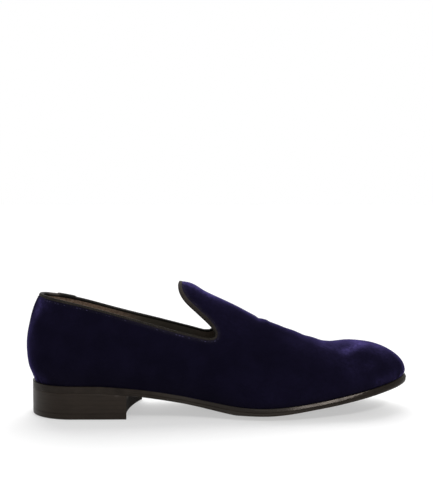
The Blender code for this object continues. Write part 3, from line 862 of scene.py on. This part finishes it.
stitch_line = collar_ring(binding_widths + STITCH_DROP, VELVET_COLUMNS)
closed_line = np.concatenate([stitch_line, stitch_line[:1]])
closed_out = np.concatenate([collar_out, collar_out[:1]])
line_length = np.linalg.norm(np.diff(closed_line, axis=0), axis=1).sum()
stitch_count = round(line_length / STITCH_PITCH)
stitch_shares = (np.arange(stitch_count) + 0.5) / stitch_count
half_stitch = 0.5 * STITCH_LENGTH / line_length
bm = bmesh.new()
middles = walk(np.concatenate([closed_line, closed_out], axis=1), stitch_shares)
ahead = walk(closed_line, stitch_shares + half_stitch)
behind = walk(closed_line, stitch_shares - half_stitch)
for place, front, back in zip(middles, ahead, behind):
    out = Vector(place[3:]).normalized()
    run = Vector(front - back).normalized()
    turn = Matrix((run, out.cross(run), out)).transposed().to_4x4()
    size = Matrix.Diagonal((STITCH_LENGTH / 2, STITCH_THICK / 2, STITCH_THICK / 2, 1))
    spot = Matrix.Translation(Vector(place[:3]) * MM)
    bmesh.ops.create_icosphere(bm, subdivisions=2, radius=MM, matrix=spot @ turn @ size)
stitch_mesh = bpy.data.meshes.new("binding_stitches")
bm.to_mesh(stitch_mesh)
bm.free()
stitch_mesh.shade_smooth()
stitch_mesh.materials.append(thread_paint())
stitches = bpy.data.objects.new("binding_stitches", stitch_mesh)
scene.collection.objects.link(stitches)
write_attribute(stitches, "bare", near_strokes(mesh_points(stitches), BARE_PILE))
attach(stitches, "root")

# The outsole: thin leather with a stained and polished edge, glued under the lasted upper.
# The edge has a rounded upper strip, a fine line and a flatter lower strip, and the toe springs up.
SOLE_COLUMNS = 230
# The edge from top to bottom: share of its height, distance in from its outline. The heel's is flush.
SOLE_EDGE = ((0.0, 1.40), (0.03, 1.22), (0.07, 1.10), (0.20, 0.72), (0.32, 0.37), (0.39, 0.17), (0.43, 0.06),
             (0.46, 0.04), (0.48, 0.22), (0.505, 0.70), (0.535, 0.50), (0.60, 0.40), (0.70, 0.33),
             (0.82, 0.35), (0.92, 0.58), (1.0, 1.1))
SOLE_TOP_SHARES = (0.9, 0.5, 0.0)
HEEL_EDGE_INSET = 0.3
HEEL_FLUSH_X = (-80.0, -62.0)
TREAD_FLAT_SHARE = 0.5
TREAD_SHARES = (0.0, 0.25, 0.5, 0.62, 0.72, 0.8, 0.87, 0.92, 0.96)
TREAD_FACES_DOWN = -0.75
TREAD_LIGHT = (0.040, 0.030, 0.023, 1)
TREAD_DARK = (0.018, 0.0135, 0.0105, 1)
# The polished strip starts thin under the arch, has this share of the edge's height at the ball and
# thins out again at the toe
STRIP_SHARE = 0.47
STRIP_GROWS_X = (5.0, 58.0)
STRIP_THINS_X = (80.0, 120.0)
SOLE_EDGE_LIGHT = (0.0195, 0.0152, 0.0124, 1)
SOLE_EDGE_DARK = (0.0095, 0.0073, 0.0059, 1)
POLISH_TINT = (1.0, 0.88, 0.78, 1)
CHIPPED_LEATHER = (0.16, 0.14, 0.125, 1)
# Both strips are painted paler under the arch, a painted reflection, but not the line between them nor the
# lowest corner
SOLE_EDGE_REFLECTED = (0.0260, 0.0225, 0.0198, 1)
REFLECTION_FROM_X = (-55.0, -25.0)
REFLECTION_TO_X = (40.0, 80.0)
REFLECTION_SHARE = 0.95
GROOVE_AT = 0.505
GROOVE_HALF_WIDTH = 0.11
LOWEST_CORNER = 0.9


def sole_edge_low(x):
    return along("seam", x) - SEAM_GAP - along("edge", x)


def sole_bottom(x, share):
    centre = np.maximum(0.0, sole_edge_low(x) - along("crown", x))
    lift = np.maximum(0.0, (share - TREAD_FLAT_SHARE) / (1 - TREAD_FLAT_SHARE)) ** 2
    return np.maximum(0.0, blend(centre, sole_edge_low(x), lift))


sole_seam = seam_loop(SOLE_COLUMNS)
sole_outline = moved_loop(sole_seam, along("welt", sole_seam[:, 0]))
sole_spine = spine_of(sole_seam)
flush = 1 - smooth_step(sole_outline[:, 0], *HEEL_FLUSH_X)
rings = [plate_ring(sole_spine, sole_outline, share, sole_bottom) for share in TREAD_SHARES]
for depth, inset in SOLE_EDGE[::-1]:
    loop = moved_loop(sole_outline, -blend(inset, HEEL_EDGE_INSET, flush))
    x = loop[:, 0]
    rings.append(np.column_stack([loop, blend(sole_top(x, 1), sole_edge_low(x), depth)]))
rings += [plate_ring(sole_spine, sole_outline, share, sole_top) for share in SOLE_TOP_SHARES]
edge_tones = (SOLE_EDGE_LIGHT, SOLE_EDGE_DARK, SOLE_EDGE_REFLECTED)
sole_paint = leather_paint("sole_leather", *edge_tones, mottle=70, pores=1500, grain=0.2, roughness=0.45,
                           Specular_IOR_Level=0.12, Specular_Tint=POLISH_TINT)
strip_paint = leather_paint("polished_edge", *edge_tones, mottle=70, pores=1500, grain=0.03, roughness=0.3,
                            Specular_IOR_Level=0.5, Specular_Tint=POLISH_TINT)
tread_paint = leather_paint("tread_leather", TREAD_LIGHT, TREAD_DARK, mark_and_painted_light=CHIPPED_LEATHER, mottle=45,
                            pores=1200, grain=0.5, roughness=0.75, Specular_IOR_Level=0.03)
outsole = loft("leather_outsole", rings, sole_paint, "outsole")
outsole.data.materials.append(tread_paint)
outsole.data.materials.append(strip_paint)
for face in outsole.data.polygons:
    x, _, z = face.center / MM
    if face.normal.z < TREAD_FACES_DOWN:
        face.material_index = 1
    else:
        strip = STRIP_SHARE * smooth_step(x, *STRIP_GROWS_X) * (1 - smooth_step(x, *STRIP_THINS_X))
        face.material_index = 2 * int(z > blend(sole_top(x, 1), sole_edge_low(x), strip))
sole_x, _, sole_z = mesh_points(outsole).T
edge_depth = (sole_top(sole_x, 1) - sole_z) / (sole_top(sole_x, 1) - sole_edge_low(sole_x))
# Painted reflection on the edge under the arch
painted_reflection = REFLECTION_SHARE * smooth_step(sole_x, *REFLECTION_FROM_X) * (1 - smooth_step(sole_x, *REFLECTION_TO_X))
painted_reflection *= 1 - np.exp(-(((edge_depth - GROOVE_AT) / GROOVE_HALF_WIDTH) ** 2))
write_attribute(outsole, "mark_and_painted_light", painted_reflection * (edge_depth < LOWEST_CORNER))

# The heel: a low block of stacked leather lifts, stained and polished with the sole. Its front face, the
# breast, is hollow. It is nailed on through the sole, and its lowest lift shows as a fine line.
HEEL_COLUMNS = 160
BREAST_X = {"lateral": -72.5, "medial": -62.0}
BREAST_HOLLOW = 4.3
BREAST_STEPS = 40
BREAST_CORNER_GAP = 1.0
HEEL_CENTRE = (-107.0, 0.0)
HEEL_EDGE_BEVEL = 0.8
# A ring part way round that bevel: inset, height
BEVEL_RING = (0.25, 0.22)
# Share of the wall at which its upper edge turns in under the sole, and how far it turns in
HEEL_WALL_TOP = 0.97
HEEL_TOP_INSET = 0.15
HEEL_TOP_SHARES = (0.75, 0.4, 0.0)
HEEL_SHARP_DEG = 40
BREAST_FACES_FORWARD = 0.5
TOP_LIFT = 4.6
LIFT_LINE = 0.12
HEEL_LIGHT = (0.0190, 0.0139, 0.0108, 1)
HEEL_DARK = (0.0095, 0.0069, 0.0053, 1)
LIFT_PITCH = 3.4
# Chipped places: radius, strength, then the places that each runs through
HEEL_SCUFFS = (
    (0.6, 0.30, (-80.4, -33.2, 18.2), (-79.9, -33.2, 18.0)),
    (1.7, 0.60, (-72.9, -14.0, 13.2), (-72.0, -6.0, 11.4)),
    (0.7, 0.20, (-72.6, -12.0, 13.0), (-73.4, -15.0, 8.0)),
)
BREAST_LIGHT = (0.0200, 0.0152, 0.0120, 1)
BREAST_DARK = (0.0085, 0.0064, 0.0050, 1)
HEEL_ROWS = 12


def heel_paint():
    """Stacked lifts: faint level layers under a dark stain, and pale places where the stain has chipped."""
    paint, tree, shader = finish("heel_leather", Specular_IOR_Level=0.18, Specular_Tint=POLISH_TINT)
    where = add(tree, "TexCoord").outputs["Object"]
    height = add(tree, "SeparateXYZ", {0: where}).outputs["Z"]
    fibre = add(tree, "Mapping", {"Vector": where, "Scale": (0.12, 0.12, 1.0)}).outputs[0]
    strata = blotches(tree, fibre, scale=900, detail=4, roughness=0.55)
    cloud = blotches(tree, where, scale=60, detail=4)
    lifts = sums(tree, "SINE", sums(tree, "MULTIPLY", height, 2 * math.pi / (LIFT_PITCH * MM)))
    layers = sums(tree, "SUBTRACT", strata, stretched(tree, lifts, 0.9, 1.0, 0.0, 0.35))
    tone = stretched(tree, sums(tree, "ADD", layers, cloud), 0.6, 1.4)
    stained = mix_tones(tree, tone, HEEL_DARK, HEEL_LIGHT)
    colour = mix_tones(tree, read_attribute(tree, "mark_and_painted_light"), stained, CHIPPED_LEATHER)
    rough = stretched(tree, cloud, 0.3, 0.7, 0.34, 0.52)
    bump = raised(tree, layers, strength=0.25, distance=0.0002)
    dress(tree, shader, Base_Color=colour, Roughness=rough, Normal=bump)
    return paint


def heel_wall(outline, side):
    """One side of the sole's outline, from the back to the corner of the breast."""
    from_back = outline if side == "lateral" else np.concatenate([outline[:1], outline[:0:-1]])
    places = from_back[: HEEL_COLUMNS + 1]
    wall = places[places[:, 0] < BREAST_X[side] - BREAST_CORNER_GAP]
    ahead = places[len(wall)]
    share = (BREAST_X[side] - wall[-1, 0]) / (ahead[0] - wall[-1, 0])
    return np.concatenate([wall, [blend(wall[-1], ahead, share)]])


heel_seam = seam_loop(HEEL_COLUMNS)
heel_outline = moved_loop(moved_loop(heel_seam, along("welt", heel_seam[:, 0])), -HEEL_EDGE_INSET)
lateral_wall, medial_wall = (heel_wall(heel_outline, side) for side in SIDES)
share = np.linspace(0, 1, BREAST_STEPS + 1)[1:-1, None]
hollow = BREAST_HOLLOW * 4 * share * (1 - share) * np.array([1, 0])
breast = blend(lateral_wall[-1], medial_wall[-1], share) - hollow
heel_loop = np.concatenate([lateral_wall, breast, medial_wall[:0:-1]])
heel_middle = np.tile(HEEL_CENTRE, (len(heel_loop), 1))


def level_ring(inset, height):
    return np.column_stack([moved_loop(heel_loop, -inset), np.full(len(heel_loop), height)])


def heel_top(x, share):
    return sole_bottom(x, 0.0) - GLUE_GAP


above_line = level_ring(0.0, TOP_LIFT + LIFT_LINE)
rings = [np.column_stack([heel_middle, np.zeros(len(heel_loop))]), level_ring(HEEL_EDGE_BEVEL, 0.0)]
rings += [level_ring(*BEVEL_RING), level_ring(0.0, HEEL_EDGE_BEVEL)]
rings += [level_ring(0.0, TOP_LIFT - LIFT_LINE), level_ring(LIFT_LINE, TOP_LIFT), above_line]
upper_edge = plate_ring(heel_middle, heel_loop, 1.0, heel_top)
for share in np.linspace(0, HEEL_WALL_TOP, HEEL_ROWS + 1)[1:]:
    rings.append(blend(above_line, upper_edge, share))
inner_edge = moved_loop(heel_loop, -HEEL_TOP_INSET)
rings += [plate_ring(heel_middle, inner_edge, share, heel_top) for share in (1.0, *HEEL_TOP_SHARES)]
heel = loft("stacked_heel", rings, heel_paint(), "heel")
write_attribute(heel, "mark_and_painted_light", np.clip(near_strokes(mesh_points(heel), HEEL_SCUFFS), 0, 1))
heel.data.set_sharp_from_angle(angle=math.radians(HEEL_SHARP_DEG))
breast_paint = leather_paint("breast_leather", BREAST_LIGHT, BREAST_DARK, mark_and_painted_light=CHIPPED_LEATHER, mottle=45,
                             pores=1200, grain=0.5, roughness=0.75, Specular_IOR_Level=0.03)
heel.data.materials.append(tread_paint)
heel.data.materials.append(breast_paint)
for face in heel.data.polygons:
    if face.normal.z < TREAD_FACES_DOWN:
        face.material_index = 1
    elif face.normal.x > BREAST_FACES_FORWARD:
        face.material_index = 2
